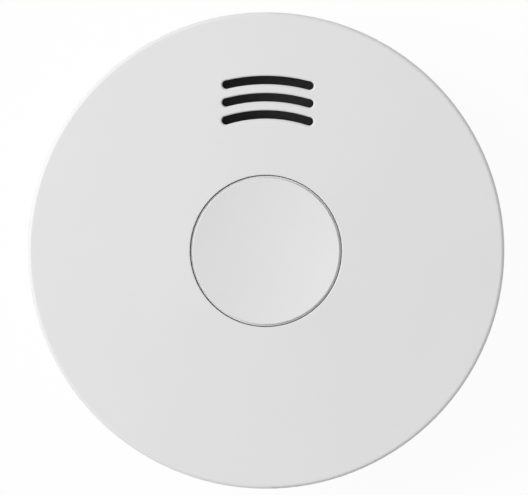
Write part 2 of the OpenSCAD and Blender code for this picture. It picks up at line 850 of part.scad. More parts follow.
// One sprung arm with a nose that catches under the guide collar
module snap_hook(skirt_in_r) {
  nose_r = button_hole_r + hook_reach;
  arm_in_r = skirt_in_r + fit;
  arm_r = button_r - fit;
  rotate(-hook_arc / 2)
    rotate_extrude(angle = hook_arc)
      polygon([
        [arm_in_r, guide_z + weld], [arm_in_r, hook_low_z], [arm_r, hook_low_z],
        [nose_r, hook_top_z - hook_h / 3], [nose_r, hook_top_z], [arm_r, hook_top_z],
        [arm_r, guide_z + weld]
      ]);
}

// Clear rod that carries the lamp's light to the back of the button
module light_guide() {
  edge = 0.4;
  rod_r = light_guide_d / 2;
  color("lightcyan")
    translate([lamp_x, 0, 0])
      rotate_extrude()
        polygon([
          [0, light_guide_z], [rod_r - edge, light_guide_z], [rod_r, light_guide_z + edge],
          [rod_r, button_under_z], [0, button_under_z]
        ]);
}

// Board cut straight beside the cell and notched round the screw bosses
module circuit_board() {
  color("seagreen")
    translate([0, 0, board_z])
      linear_extrude(board_t)
        difference() {
          circle(board_r);
          translate([board_cut_x, -board_r])
            square([board_r, 2 * board_r]);
          for (a = boss_angles)
            rotate(a)
              translate([boss_at_r, 0])
                circle(d = boss_d + 4 * run);
          at(board_screw_at)
            circle(d = board_screw_d + 2 * fit);
        }
}

// Push switch under the middle of the button
module test_switch_body() {
  well_low_z = plunger_low_z - press_travel - run;
  leg_w = 0.7;
  leg_reach = 1.2;
  leg_h = 0.3;
  leg_y = switch_w * 3 / 8;
  color("dimgray")
    difference() {
      union() {
        block([switch_w, switch_w, switch_h], board_top_z);
        for (x = [-1, 1], y = [-1, 1])
          translate([x * (switch_w + leg_reach) / 2, y * leg_y, 0])
            block([leg_reach + 2 * weld, leg_w, leg_h], board_top_z);
      }
      translate([0, 0, well_low_z])
        cylinder(d = plunger_d + 2 * fit, h = switch_top_z - well_low_z + past);
    }
}

module test_switch_plunger() {
  edge = 0.3;
  plunger_r = plunger_d / 2;
  color("black")
    rotate_extrude()
      polygon([
        [0, plunger_low_z], [plunger_r, plunger_low_z], [plunger_r, plunger_top_z - edge],
        [plunger_r - edge, plunger_top_z], [0, plunger_top_z]
      ]);
}

// Round-topped lamp that stands on the board
module indicator_led() {
  lamp_r = lamp_d / 2;
  flange_w = 0.4;
  flange_r = lamp_r + flange_w;
  flange_h = 1;
  color("red")
    translate([lamp_x, 0, board_top_z])
      rotate_extrude()
        round_nose(lamp_r, lamp_h, flange_r, flange_h);
}

// Section of a round-nosed lamp that stands on a flange
module round_nose(r, height, flange_r, flange_h) {
  span(0, flange_r, 0, flange_h);
  span(0, r, 0, height - r);
  intersection() {
    translate([0, height - r])
      circle(r);
    span(0, r, height - r, height);
  }
}

// Slide switch on the rear of the board
module power_switch_body() {
  well = [stem_l + power_travel + 2 * run, stem_w + 2 * run, stem_z + run - power_low_z + past];
  color("dimgray")
    difference() {
      at([power_at])
        block([power_l, power_w, board_z - power_low_z], power_low_z);
      at([power_at])
        block(well, power_low_z - past);
    }
}

// Slider whose knob stands in the window of the housing's floor, here at its left end
module power_switch_slider() {
  groove_w = 0.4;
  groove_h = 0.4;
  color("black")
    translate([power_at.x - power_travel / 2, power_at.y, 0])
      difference() {
        union() {
          block([stem_l, stem_w, stem_z - knob_top_z + weld], knob_top_z - weld);
          block([knob_l, knob_w, knob_top_z - knob_low_z], knob_low_z);
        }
        for (s = [-1, 0, 1])
          translate([s * 2 * groove_w, 0, 0])
            block([groove_w, knob_w + past, groove_h + past], knob_low_z - past);
      }
}

// Control chip with a row of legs along each side
module microcontroller() {
  leg_w = 0.4;
  leg_reach = 1;
  leg_t = 0.25;
  leg_pitch = chip_l / chip_legs;
  stand = 0.15;
  knee_z = chip_h / 2;
  color("black")
    translate([chip_at.x, chip_at.y, board_top_z]) {
      block([chip_l, chip_w, chip_h - stand], stand);
      for (s = [-1, 1], i = [0:chip_legs - 1])
        translate([(i - (chip_legs - 1) / 2) * leg_pitch, 0, 0])
          rotate(s * 90)
            translate([0, leg_w / 2, 0])
              rotate([90, 0, 0])
                linear_extrude(leg_w)
                  polygon([
                    [chip_w / 2 - weld, knee_z], [chip_w / 2 + leg_t, knee_z], [chip_w / 2 + leg_t, 0],
                    [chip_w / 2 + leg_reach, 0], [chip_w / 2 + leg_reach, leg_t],
                    [chip_w / 2 + 2 * leg_t, leg_t], [chip_w / 2 + 2 * leg_t, knee_z + leg_t],
                    [chip_w / 2 - weld, knee_z + leg_t]
                  ]);
    }
}

// Electrolytic can on a square foot, with a crimped groove
module storage_capacitor() {
  foot_h = 1;
  groove = 0.4;
  can_r = can_d / 2;
  color("silver")
    translate([can_at.x, can_at.y, board_top_z]) {
      block([can_d, can_d, foot_h], 0);
      rotate_extrude()
        polygon([
          [0, foot_h - weld], [can_r - groove, foot_h - weld], [can_r, foot_h + groove],
          [can_r, foot_h + 2 * groove], [can_r - groove, foot_h + 3 * groove], [can_r, foot_h + 4 * groove],
          [can_r, can_h - groove], [can_r - groove, can_h], [0, can_h]
        ]);
    }
}

// Drum coil that steps up the voltage for the horn
module horn_coil() {
  flange_h = 1;
  coil_r = coil_d / 2;
  wire_sink = 0.6;
  wire_r = coil_r - wire_sink;
  neck = 0.25;
  wire_top_z = coil_h - flange_h;
  color("saddlebrown")
    translate([coil_at.x, coil_at.y, board_top_z])
      rotate_extrude()
        polygon([
          [0, 0], [coil_r, 0], [coil_r, flange_h], [wire_r - neck, flange_h], [wire_r, flange_h + neck],
          [wire_r, wire_top_z - neck], [wire_r - neck, wire_top_z], [coil_r, wire_top_z],
          [coil_r, coil_h], [0, coil_h]
        ]);
}

// Two rows of small chips beside the microcontroller and the horn
module chip_parts() {
  chip = [2, 1.25, 0.6];
  chip_pitch = 3.4;
  row_count = 5;
  color("tan")
    at(chip_rows_at)
      for (i = [0:row_count - 1])
        translate([i * chip_pitch, 0, 0])
          block(chip, board_top_z);
}

// Floor of the optical chamber, with the saddles for the two optics and a rib between them
module chamber_base() {
  holder_in_r = vane_in_r / 2;
  holder_l = optic_r - optic_flange_h - fit - holder_in_r;
  septum = [vane_in_r / 2, 1.2, chamber_lid_z - chamber_floor_z - fit + weld];
  lead_way_w = optic_lead_w + 2 * run;
  lead_way = [lead_way_w, optic_lead_pitch + lead_way_w, chamber_floor_t + 2 * past];
  color("black")
    translate([chamber_at.x, chamber_at.y, 0])
      difference() {
        union() {
          rotate_extrude()
            polygon([
              [0, board_top_z], [chamber_r, board_top_z], [chamber_r, chamber_flange_z],
              [vane_r, chamber_flange_z], [vane_r, chamber_floor_z], [0, chamber_floor_z]
            ]);
          for (a = optic_turns)
            rotate(a)
              translate([holder_in_r, -optic_holder_w / 2, chamber_floor_z - weld])
                cube([holder_l, optic_holder_w, optic_z - chamber_floor_z + weld]);
          rotate(chamber_turn)
            translate([septum.x, -septum.y / 2, chamber_floor_z - weld])
              cube([septum.x - weld, septum.y, septum.z]);
        }
        for (a = optic_turns)
          rotate(a) {
            translate([0, 0, optic_z])
              rotate([0, 90, 0])
                cylinder(d = optic_d + 2 * fit, h = vane_in_r);
            translate([optic_r + optic_lead_l - optic_lead_w / 2, 0, 0])
              block(lead_way, board_top_z - past);
          }
      }
}

// Lid of the optical chamber with its ring of bent vanes, which let smoke in and keep light out
module chamber_cover() {
  edge = 0.5;
  color("black")
    translate([chamber_at.x, chamber_at.y, 0]) {
      rotate_extrude()
        polygon([
          [0, chamber_lid_z], [chamber_r, chamber_lid_z], [chamber_r, chamber_top_z - edge],
          [chamber_r - edge, chamber_top_z], [0, chamber_top_z]
        ]);
      translate([0, 0, chamber_floor_z])
        linear_extrude(chamber_lid_z - chamber_floor_z + weld)
          around(vane_count)
            vane();
    }
}

// Outline of one bent vane
module vane() {
  mid_r = (vane_in_r + vane_r) / 2;
  slant = 1.7;
  function turn(r) = slant * vane_t / r * 180 / PI;
  polygon([
    polar(vane_r, 0), polar(mid_r, vane_bend), polar(vane_in_r, 0),
    polar(vane_in_r, turn(vane_in_r)), polar(mid_r, vane_bend + turn(mid_r)), polar(vane_r, turn(vane_r))
  ]);
}

// Metal screen of bars and hoops round the vanes
module insect_screen() {
  bar_inset = screen_t / 6;
  screen_h = chamber_lid_z - chamber_flange_z;
  color("silver")
    translate([chamber_at.x, chamber_at.y, 0])
      union() {
        for (z = steps(chamber_flange_z, chamber_lid_z - screen_bar_w, screen_hoops - 1))
          ring(screen_in_r, screen_r, z, z + screen_bar_w);
        around(screen_bars)
          translate([screen_in_r + bar_inset, -screen_bar_w / 2, chamber_flange_z])
            cube([screen_t - 2 * bar_inset, screen_bar_w, screen_h]);
      }
}

// Round-nosed optic that lies in its saddle and looks at the middle of the chamber
module optic(turn) {
  translate([chamber_at.x, chamber_at.y, 0])
    rotate(turn) {
      translate([optic_r, 0, optic_z])
        rotate([0, -90, 0])
          rotate_extrude()
            round_nose(optic_d / 2, optic_len, optic_flange_d / 2, optic_flange_h);
      for (s = [-1, 1])
        translate([optic_r - weld, s * optic_lead_pitch / 2 - optic_lead_w / 2, 0]) {
          translate([0, 0, optic_z - optic_lead_w / 2])
            cube([optic_lead_l + weld, optic_lead_w, optic_lead_w]);
          translate([optic_lead_l + weld - optic_lead_w, 0, board_top_z])
            cube([optic_lead_w, optic_lead_w, optic_z - board_top_z]);
        }
    }
}

module infrared_led() {
  color("lightsteelblue")
    optic(optic_turns[0]);
}

module photodiode() {
  color("midnightblue")
    optic(optic_turns[1]);
}

// Cup of the horn, with a shelf for the sounder disc
module horn_housing() {
  shelf_in_r = piezo_d / 2 - horn_shelf_w;
  color("black")
    translate([0, horn_y, 0])
      rotate_extrude()
        polygon([
          [shelf_in_r, board_top_z], [horn_r, board_top_z], [horn_r, horn_cup_z],
          [piezo_pocket_r, horn_cup_z], [piezo_pocket_r, horn_shelf_z], [shelf_in_r, horn_shelf_z]
        ]);
}

// Cap of the horn: its spigot holds the disc down, and its hole lets the sound out beside the slots
module horn_cap() {
  spigot_r = piezo_d / 2;
  spigot_in_r = spigot_r - horn_shelf_w;
  hole_off = spigot_in_r - horn_hole_land - horn_hole_d / 2;
  disc_z = horn_shelf_z + piezo_t;
  color("black")
    translate([0, horn_y, 0])
      difference() {
        rotate_extrude()
          polygon([
            [0, horn_cup_z], [spigot_in_r, horn_cup_z], [spigot_in_r, disc_z], [spigot_r, disc_z],
            [spigot_r, horn_cup_z], [horn_r, horn_cup_z], [horn_r, horn_cap_z], [0, horn_cap_z]
          ]);
        translate([0, -hole_off, horn_cup_z - past])
          cylinder(d = horn_hole_d, h = horn_cap_t + 2 * past);
      }
}

module horn_gasket() {
  color("darkslategray")
    translate([0, horn_y, 0])
      ring(sound_collar_in_r, sound_collar_r, horn_cap_z, gasket_top_z);
}

module piezo_disc() {
  color("goldenrod")
    translate([0, horn_y, horn_shelf_z])
      cylinder(d = piezo_d, h = piezo_t);
}

// Ceramic on the rear of the sounder disc
module piezo_ceramic() {
  color("silver")
    translate([0, horn_y, horn_shelf_z - ceramic_t])
      cylinder(d = ceramic_d, h = ceramic_t);
}

// Contacts from the board: two to the ceramic and one to the brass beside it
module horn_contacts() {
  ceramic_r = ceramic_d / 2;
  brass_r = (ceramic_r + piezo_d / 2 - horn_shelf_w) / 2;
  ceramic_z = horn_shelf_z - ceramic_t;
  color("gold")
    translate([0, horn_y, 0]) {
      contact(polar(ceramic_r / 3, -90), ceramic_z);
      contact(polar(ceramic_r * 0.75, 30), ceramic_z);
      contact(polar(brass_r, 150), horn_shelf_z);
    }
}

module contact(place, top_z) {
  foot_r = 0.9;
  foot_h = 0.4;
  stem_r = 0.35;
  tip_r = 0.55;
  tip_h = 0.5;
  translate([place.x, place.y, 0])
    rotate_extrude()
      polygon([
        [0, board_top_z], [foot_r, board_top_z], [foot_r, board_top_z + foot_h],
        [stem_r, board_top_z + foot_h], [stem_r, top_z - tip_h], [tip_r, top_z - tip_h / 2],
        [tip_r, top_z], [0, top_z]
      ]);
}

// Cylindrical cell with a crimped neck and a raised contact, along Y
module battery_cell() {
  can_l = cell_len - cell_nub_h;
  neck_l = can_l - 4 * cell_edge_r;
  neck_r = cell_r - cell_edge_r / 2;
  color("slategray")
    translate([cell_x, -cell_len / 2, cell_z])
      rotate([-90, 0, 0])
        rotate_extrude() {
          rounded([cell_r - cell_edge_r, cell_edge_r], cell_edge_r, -90, 0)
            rounded([cell_r - cell_edge_r, can_l - cell_edge_r], cell_edge_r, 0, 90)
              polygon([
                [0, 0], [cell_r, 0], [cell_r, neck_l - cell_edge_r], [neck_r, neck_l],
                [cell_r, neck_l + cell_edge_r], [cell_r, can_l], [0, can_l]
              ]);
          span(0, cell_nub_d / 2, can_l - weld, cell_len);
        }
}

// Strips welded to the cell's ends, with feet on the board
module battery_tabs() {
  color("silver")
    for (y = [cell_len / 2 + tab_t, -cell_len / 2])
      translate([0, y, 0])
        rotate([90, 0, 0])
          linear_extrude(tab_t)
            polygon([
              [cell_x + tab_reach, cell_z - tab_w / 2], [cell_x + tab_reach, cell_z + tab_w / 2],
              [tab_foot_x, cell_z + tab_w / 2], [tab_foot_x, board_top_z],
              [tab_foot_x + tab_foot_w, board_top_z], [tab_foot_x + tab_foot_w, cell_z - tab_w / 2]
            ]);
}

// Screw along Z whose head rests on z = 0: plain shank, thread core below it, cross recess on top
module screw(thread_d, shank_l, length, head_d, head_h) {
  thread_r = thread_d / 2;
  core_r = thread_r * pilot_share;
  cross_w = thread_d / 5;
  cross_h = head_h * 0.6;
  difference() {
    rotate_extrude()
      polygon([
        [0, -length], [core_r, -length], [core_r, -shank_l], [thread_r, -shank_l], [thread_r, 0],
        [head_d / 2, 0], [head_d / 2, head_h / 2], [head_d / 3, head_h], [0, head_h]
      ]);
    for (a = [0, 90])
      rotate(a)
        block([head_d / 2, cross_w, cross_h + past], head_h - cross_h);
  }
}

module board_screws() {
  color("silver")
    at(board_screw_at, board_top_z)
      screw(board_screw_d, board_t, board_screw_l, board_screw_head_d, board_screw_head_h);
}

// Screws that go in from the rear, through the housing's bosses into the cover's
module cover_screws() {
  color("silver")
    for (a = boss_angles)
      rotate(a)
        translate([boss_at_r, 0, cover_screw_seat_z])
          mirror([0, 0, 1])
            screw(
              cover_screw_d, boss_join_z - cover_screw_seat_z, cover_screw_top_z - cover_screw_seat_z,
              cover_screw_head_d, cover_screw_head_h
            );
}

mounting_plate();
rear_housing();
smoke_grille();
front_cover();
test_button();
light_guide();
circuit_board();
test_switch_body();
test_switch_plunger();
indicator_led();
power_switch_body();
power_switch_slider();
microcontroller();
storage_capacitor();
horn_coil();
chip_parts();
chamber_base();
chamber_cover();
insect_screen();
infrared_led();
photodiode();
horn_housing();
horn_cap();
horn_gasket();
piezo_disc();
piezo_ceramic();
horn_contacts();
battery_cell();
battery_tabs();
board_screws();
cover_screws();
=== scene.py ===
import math

import bmesh
import bpy
from mathutils import Matrix, Vector


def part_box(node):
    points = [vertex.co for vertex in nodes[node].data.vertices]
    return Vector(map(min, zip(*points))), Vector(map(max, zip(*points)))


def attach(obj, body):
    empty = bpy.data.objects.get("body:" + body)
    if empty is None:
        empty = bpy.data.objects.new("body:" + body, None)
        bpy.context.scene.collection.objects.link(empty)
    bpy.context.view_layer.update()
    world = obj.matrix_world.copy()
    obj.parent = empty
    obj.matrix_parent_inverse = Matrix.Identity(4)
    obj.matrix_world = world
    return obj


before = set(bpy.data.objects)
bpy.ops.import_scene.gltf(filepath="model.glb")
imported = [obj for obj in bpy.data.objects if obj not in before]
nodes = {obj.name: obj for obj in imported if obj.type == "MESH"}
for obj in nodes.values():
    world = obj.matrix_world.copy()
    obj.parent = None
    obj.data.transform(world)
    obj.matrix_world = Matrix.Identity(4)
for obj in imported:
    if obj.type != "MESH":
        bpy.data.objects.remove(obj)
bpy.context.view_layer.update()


# Mounting plate. A single white ABS moulding with two pairs of screw slots and a bayonet rim. The
# mould is spark-eroded, which leaves a fine matt grain, and its ejector pins leave six faint rounds
# on the rear. Two screws hold the plate to the ceiling.
mm = 0.001


def add(tree, kind, inputs=None, **settings):
    made = tree.nodes.new("ShaderNode" + kind)
    for name, value in settings.items():
        setattr(made, name, value)
    for name, value in (inputs or {}).items():
        if isinstance(value, bpy.types.NodeSocket):
            tree.links.new(value, made.inputs[name])
        else:
            made.inputs[name].default_value = value
    return made


def join(tree, pairs):
    for source, target in pairs:
        tree.links.new(source, target)


def work_out(tree, operation, *values):
    return add(tree, "Math", dict(enumerate(values)), operation=operation).outputs[0]


def scaled(tree, vector, factor):
    return add(tree, "VectorMath", {0: vector, "Scale": factor}, operation="SCALE").outputs[0]


def distance(tree, vector, other=(0, 0, 0)):
    return add(tree, "VectorMath", {0: vector, 1: other}, operation="DISTANCE").outputs["Value"]


def ramp(tree, value, start, end, low=0, high=1):
    return add(tree, "MapRange", {"Value": value, 1: start, 2: end, 3: low, 4: high}).outputs[0]


def place_on(tree):
    return add(tree, "TexCoord").outputs["Object"]


def split(tree, vector):
    return add(tree, "SeparateXYZ", {0: vector}).outputs


def noise(tree, place, scale, **more):
    return add(tree, "TexNoise", {"Vector": place, "Scale": scale, **more}).outputs["Fac"]


def raised(tree, height, depth, **ground):
    return add(tree, "Bump", {"Height": height, "Distance": depth, **ground}).outputs["Normal"]


def group(name, inputs, outputs):
    tree = bpy.data.node_groups.new(name, "ShaderNodeTree")
    for label, kind in inputs:
        tree.interface.new_socket(label, in_out="INPUT", socket_type="NodeSocket" + kind)
    for label, kind in outputs:
        tree.interface.new_socket(label, in_out="OUTPUT", socket_type="NodeSocket" + kind)
    return tree, tree.nodes.new("NodeGroupInput").outputs, tree.nodes.new("NodeGroupOutput").inputs


# Moulded grain: fine specks of the eroded mould over the slow marks of the plastic's flow.
flow_marks = 38
flow_gloss = 0.15
speck_tone = 0.05
speck_gloss = 0.2
moulded, given, out = group(
    "moulded_grain",
    [("Colour", "Color"), ("Roughness", "Float"), ("Drift", "Float"), ("Grain", "Float")],
    [("Colour", "Color"), ("Roughness", "Float"), ("Height", "Float")],
)
place = place_on(moulded)
spark = noise(moulded, place, given["Grain"], Detail=3, Roughness=0.6)
flow = noise(moulded, place, flow_marks, Detail=4, Distortion=0.6)
lift = work_out(moulded, "SUBTRACT", spark, 0.5)
sway = work_out(moulded, "SUBTRACT", flow, 0.5)
tone = work_out(moulded, "MULTIPLY_ADD", sway, given["Drift"], 1)
tone = work_out(moulded, "MULTIPLY_ADD", lift, speck_tone, tone)
gloss = work_out(moulded, "MULTIPLY_ADD", lift, speck_gloss, given["Roughness"])
gloss = work_out(moulded, "MULTIPLY_ADD", sway, flow_gloss, gloss)
join(moulded, [
    (scaled(moulded, given["Colour"], tone), out["Colour"]),
    (gloss, out["Roughness"]),
    (spark, out["Height"]),
])


def grained(tree, colour, roughness, drift, grain):
    values = {"Colour": (*colour, 1), "Roughness": roughness, "Drift": drift, "Grain": grain}
    return add(tree, "Group", values, node_tree=moulded).outputs


def opened(finish):
    return finish.node_tree, finish.node_tree.nodes["Principled BSDF"].inputs


def material(name, **sockets):
    made = bpy.data.materials.new(name)
    made.use_nodes = True
    tree, shader = opened(made)
    for label, value in sockets.items():
        shader[label.replace("_", " ")].default_value = value
    return made, tree, shader


def skin_over(tree, shader, skin, normal):
    join(tree, [
        (skin["Colour"], shader["Base Color"]),
        (skin["Roughness"], shader["Roughness"]),
        (normal, shader["Normal"]),
    ])


def moulding(name, colour, roughness, drift, grain, depth, edge):
    made, tree, shader = material(name)
    skin = grained(tree, colour, roughness, drift, grain)
    rounding = add(tree, "Bevel", {"Radius": edge}, samples=6).outputs["Normal"]
    skin_over(tree, shader, skin, raised(tree, skin["Height"], depth, Normal=rounding))
    return made


def wears(finish, *names):
    for name in names:
        nodes[name].material_slots[0].material = finish


white_finish = dict(
    colour=(0.76, 0.76, 0.76),
    roughness=0.48,
    drift=0.03,
    grain=5200,
    depth=0.006 * mm,
    edge=0.25 * mm,
)

# The rounds of the ejector pins lie on a ring, a little below the rear face.
pin_count = 6
pin_ring_r = 36 * mm
pin_r = 2.5 * mm
pin_lip = 0.1 * mm
pin_depth = 0.08 * mm
rear_skin = 0.1 * mm
half_step = math.pi / pin_count
plate_abs = moulding("plate_abs", **white_finish)
tree, shader = opened(plate_abs)
axes = split(tree, place_on(tree))
turn = work_out(tree, "ARCTAN2", axes["Y"], axes["X"])
turn = work_out(tree, "ADD", turn, half_step)
turn = work_out(tree, "PINGPONG", turn, half_step)
flat = add(tree, "CombineXYZ", {"X": axes["X"], "Y": axes["Y"]}).outputs[0]
spoke = add(tree, "CombineXYZ", {"X": distance(tree, flat)}).outputs[0]
spoke = add(tree, "VectorRotate", {"Vector": spoke, "Angle": turn}, rotation_type="Z_AXIS").outputs[0]
from_pin = distance(tree, spoke, (pin_ring_r, 0, 0))
past_pin = ramp(tree, from_pin, pin_r - pin_lip, pin_r)
front = work_out(tree, "GREATER_THAN", axes["Z"], rear_skin)
level = work_out(tree, "MAXIMUM", past_pin, front)
grain_on = shader["Normal"].links[0].from_socket
join(tree, [(raised(tree, level, pin_depth, Normal=grain_on), shader["Normal"])])
wears(plate_abs, "mounting_plate")


# Rear housing. A white ABS tub with the same mould finish, with the recess for the plate, the cell's
# cradle and the screw ways moulded in. It twists onto the plate's lugs.
white_abs = moulding("white_abs", **white_finish)
wears(white_abs, "rear_housing")


# Battery. A long-life lithium cell lies in the housing's cradle: a steel can in a shrunk plastic
# sleeve that leaves the two ends bare, with a paper washer round the plus nub. Two nickel strips are
# spot-welded to the ends.
def blend(tree, mask, first, second):
    return add(tree, "MixRGB", {0: mask, 1: first, 2: second}).outputs[0]


def work_out_vector(tree, operation, *values):
    return add(tree, "VectorMath", dict(enumerate(values)), operation=operation).outputs[0]


sleeve_mouth_r = 6.7 * mm
sleeve_lip = 0.1 * mm
sleeve_wrinkle = 0.03 * mm
sleeve_coat = 0.5
sleeve_blue = (0.16, 0.21, 0.29)
can_steel = (0.66, 0.65, 0.63)
washer_from = 15 * mm
washer_hole_r = 3.2 * mm
washer_paper = (0.72, 0.7, 0.64, 1)
washer_matt = (0.8, 0.8, 0.8, 1)
cell_low, cell_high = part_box("battery_cell")
cell_mid = (cell_low + cell_high) / 2
sleeved, tree, shader = material("sleeved_cell", Coat_Roughness=0.25)
from_mid = work_out_vector(tree, "SUBTRACT", place_on(tree), cell_mid)
radius = distance(tree, work_out_vector(tree, "MULTIPLY", from_mid, (1, 0, 1)))
bare = ramp(tree, radius, sleeve_mouth_r, sleeve_mouth_r - sleeve_lip)
plus_end = work_out(tree, "GREATER_THAN", split(tree, from_mid)["Y"], washer_from)
past_nub = work_out(tree, "GREATER_THAN", radius, washer_hole_r)
washer = work_out(tree, "MULTIPLY", plus_end, past_nub)
washer = work_out(tree, "MULTIPLY", washer, bare)
sleeve = grained(tree, sleeve_blue, roughness=0.36, drift=0.12, grain=900)
can = grained(tree, can_steel, roughness=0.3, drift=0.1, grain=3000)
colour = blend(tree, bare, sleeve["Colour"], can["Colour"])
colour = blend(tree, washer, colour, washer_paper)
gloss = blend(tree, bare, sleeve["Roughness"], can["Roughness"])
gloss = blend(tree, washer, gloss, washer_matt)
join(tree, [
    (colour, shader["Base Color"]),
    (gloss, shader["Roughness"]),
    (work_out(tree, "SUBTRACT", bare, washer), shader["Metallic"]),
    (ramp(tree, bare, 0, 1, sleeve_coat, 0), shader["Coat Weight"]),
    (raised(tree, sleeve["Height"], sleeve_wrinkle), shader["Normal"]),
])
wears(sleeved, "battery_cell")

# Rolled metal: streaks drawn out along the rolling, and faint stains.
stain_marks = 260
faint = 0.6
strong = 1.4
faint_tone = 0.86
strong_tone = 1.1
faint_dulling = 0.1
strong_dulling = -0.08
rolled, given, out = group(
    "rolled_metal",
    [("Colour", "Color"), ("Roughness", "Float"), ("Stretch", "Vector")],
    [("Colour", "Color"), ("Roughness", "Float"), ("Height", "Float")],
)
place = place_on(rolled)
drawn = work_out_vector(rolled, "MULTIPLY", place, given["Stretch"])
streak = noise(rolled, drawn, 1, Detail=4, Roughness=0.65)
stain = noise(rolled, place, stain_marks, Detail=3)
both = work_out(rolled, "ADD", streak, stain)
tone = ramp(rolled, both, faint, strong, faint_tone, strong_tone)
dull = ramp(rolled, both, faint, strong, faint_dulling, strong_dulling)
join(rolled, [
    (scaled(rolled, given["Colour"], tone), out["Colour"]),
    (work_out(rolled, "ADD", given["Roughness"], dull), out["Roughness"]),
    (streak, out["Height"]),
])


def bright_metal(name, colour, roughness, stretch, depth):
    made, tree, shader = material(name, Metallic=1)
    values = {"Colour": (*colour, 1), "Roughness": roughness, "Stretch": stretch}
    skin = add(tree, "Group", values, node_tree=rolled).outputs
    skin_over(tree, shader, skin, raised(tree, skin["Height"], depth))
    return made


# Each strip has two dents from the welding tips on each end of the cell.
weld_apart = 1.3 * mm
weld_r = 0.5 * mm
weld_depth = 0.12 * mm
nickel = bright_metal(
    "nickel_strip", (0.62, 0.6, 0.56), roughness=0.32, stretch=(600, 3000, 9000), depth=0.004 * mm,
)
tree, shader = opened(nickel)
axes = split(tree, place_on(tree))
from_axis = work_out(tree, "SUBTRACT", axes["X"], cell_mid.x)
from_axis = work_out(tree, "ABSOLUTE", from_axis)
from_spot = work_out(tree, "SUBTRACT", from_axis, weld_apart)
from_level = work_out(tree, "SUBTRACT", axes["Z"], cell_mid.z)
from_weld = add(tree, "CombineXYZ", {"X": from_spot, "Z": from_level}).outputs[0]
dent = ramp(tree, distance(tree, from_weld), weld_r / 2, weld_r)
strip_on = shader["Normal"].links[0].from_socket
join(tree, [(raised(tree, dent, weld_depth, Normal=strip_on), shader["Normal"])])
wears(nickel, "battery_tabs")


# Circuit board. Glass-fibre laminate with copper tracks under green solder mask; the milled edge
# shows the bare laminate. Three screws hold it on the housing's posts.
def cells(tree, place, scale, **settings):
    return add(tree, "TexVoronoi", {"Vector": place, "Scale": scale}, **settings)


# Printed copper: runs of straight lanes in patches, some lanes left out, and plated holes with pads.
track_field = 85
track_pitch = 1.1 * mm
track_half_w = 0.21
track_blur = 0.03
gaps_share = 0.4
via_spread = 190
via_scatter = 0.8
pad_r = 0.1
pad_blur = 0.01
hole_r = 0.045
hole_blur = 0.005
printed, _, out = group("board_print", [], [("Track", "Float"), ("Pad", "Float"), ("Hole", "Float")])
place = place_on(printed)
axes = split(printed, place)
field = cells(printed, place, track_field, distance="CHEBYCHEV", voronoi_dimensions="2D")
pick = split(printed, field.outputs["Color"])
lengthwise = work_out(printed, "GREATER_THAN", pick["X"], 0.5)
line_at = blend(printed, lengthwise, axes["X"], axes["Y"])
lane = work_out(printed, "DIVIDE", line_at, track_pitch)
off_mid = work_out(printed, "FRACT", lane)
off_mid = work_out(printed, "SUBTRACT", off_mid, 0.5)
off_mid = work_out(printed, "ABSOLUTE", off_mid)
line = ramp(printed, off_mid, track_half_w + track_blur, track_half_w - track_blur)
lane_no = work_out(printed, "FLOOR", lane)
draw = work_out(printed, "ADD", lane_no, pick["Y"])
luck = add(printed, "TexWhiteNoise", {"W": draw}, noise_dimensions="1D").outputs["Value"]
kept = work_out(printed, "GREATER_THAN", luck, gaps_share)
via = cells(printed, place, via_spread, voronoi_dimensions="2D")
via.inputs["Randomness"].default_value = via_scatter
from_via = via.outputs["Distance"]
join(printed, [
    (work_out(printed, "MULTIPLY", line, kept), out["Track"]),
    (ramp(printed, from_via, pad_r + pad_blur, pad_r - pad_blur), out["Pad"]),
    (ramp(printed, from_via, hole_r + hole_blur, hole_r - hole_blur), out["Hole"]),
])

mask_green = (0.012, 0.11, 0.045, 1)
track_green = (0.03, 0.2, 0.08, 1)
resin = (0.42, 0.36, 0.16, 1)
glass_fibre = (0.56, 0.5, 0.26, 1)
pad_tin = (0.72, 0.7, 0.66, 1)
painted_hole_shade = (0.01, 0.02, 0.01, 1)
track_h = 0.03 * mm
level_face = 0.7
weave_spread = 2600
weave_gloss = (0.3, 0.45)
board, tree, shader = material("printed_board", Coat_Weight=0.35, Coat_Roughness=0.15)
copper = add(tree, "Group", node_tree=printed).outputs
faces_to = split(tree, add(tree, "NewGeometry").outputs["Normal"])
flat = work_out(tree, "ABSOLUTE", faces_to["Z"])
flat = work_out(tree, "GREATER_THAN", flat, level_face)
pads = work_out(tree, "MULTIPLY", copper["Pad"], flat)
holes = work_out(tree, "MULTIPLY", copper["Hole"], flat)
weave = noise(tree, place_on(tree), weave_spread)
coated = blend(tree, copper["Track"], mask_green, track_green)
laminate = blend(tree, weave, resin, glass_fibre)
colour = blend(tree, flat, laminate, coated)
colour = blend(tree, pads, colour, pad_tin)
# The holes are painted as near-black dots: painted shade in them.
colour = blend(tree, holes, colour, painted_hole_shade)
join(tree, [
    (colour, shader["Base Color"]),
    (ramp(tree, weave, 0, 1, *weave_gloss), shader["Roughness"]),
    (work_out(tree, "SUBTRACT", pads, holes), shader["Metallic"]),
    (raised(tree, copper["Track"], track_h), shader["Normal"]),
])
wears(board, "circuit_board")


# Solder joints. Each lead that goes through the board ends underneath in a small cone of tin solder,
# with the clipped lead standing in it: the lamps, the coil, the horn's contacts and the cell's strips.
board_low, board_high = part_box("circuit_board")
touching = 0.01 * mm


def feet(name, reach):
    found = []
    for vertex in nodes[name].data.vertices:
        if vertex.co.z < board_high.z + touching:
            near = next((spots for spots in found if (spots[0] - vertex.co).length < reach), None)
            if near:
                near.append(vertex.co)
            else:
                found.append([vertex.co])
    return [sum(near, Vector()) / len(near) for near in found]


def pair(name, apart):
    low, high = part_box(name)
    return [(low + high) / 2 + Vector((side * apart / 2, 0, 0)) for side in (-1, 1)]


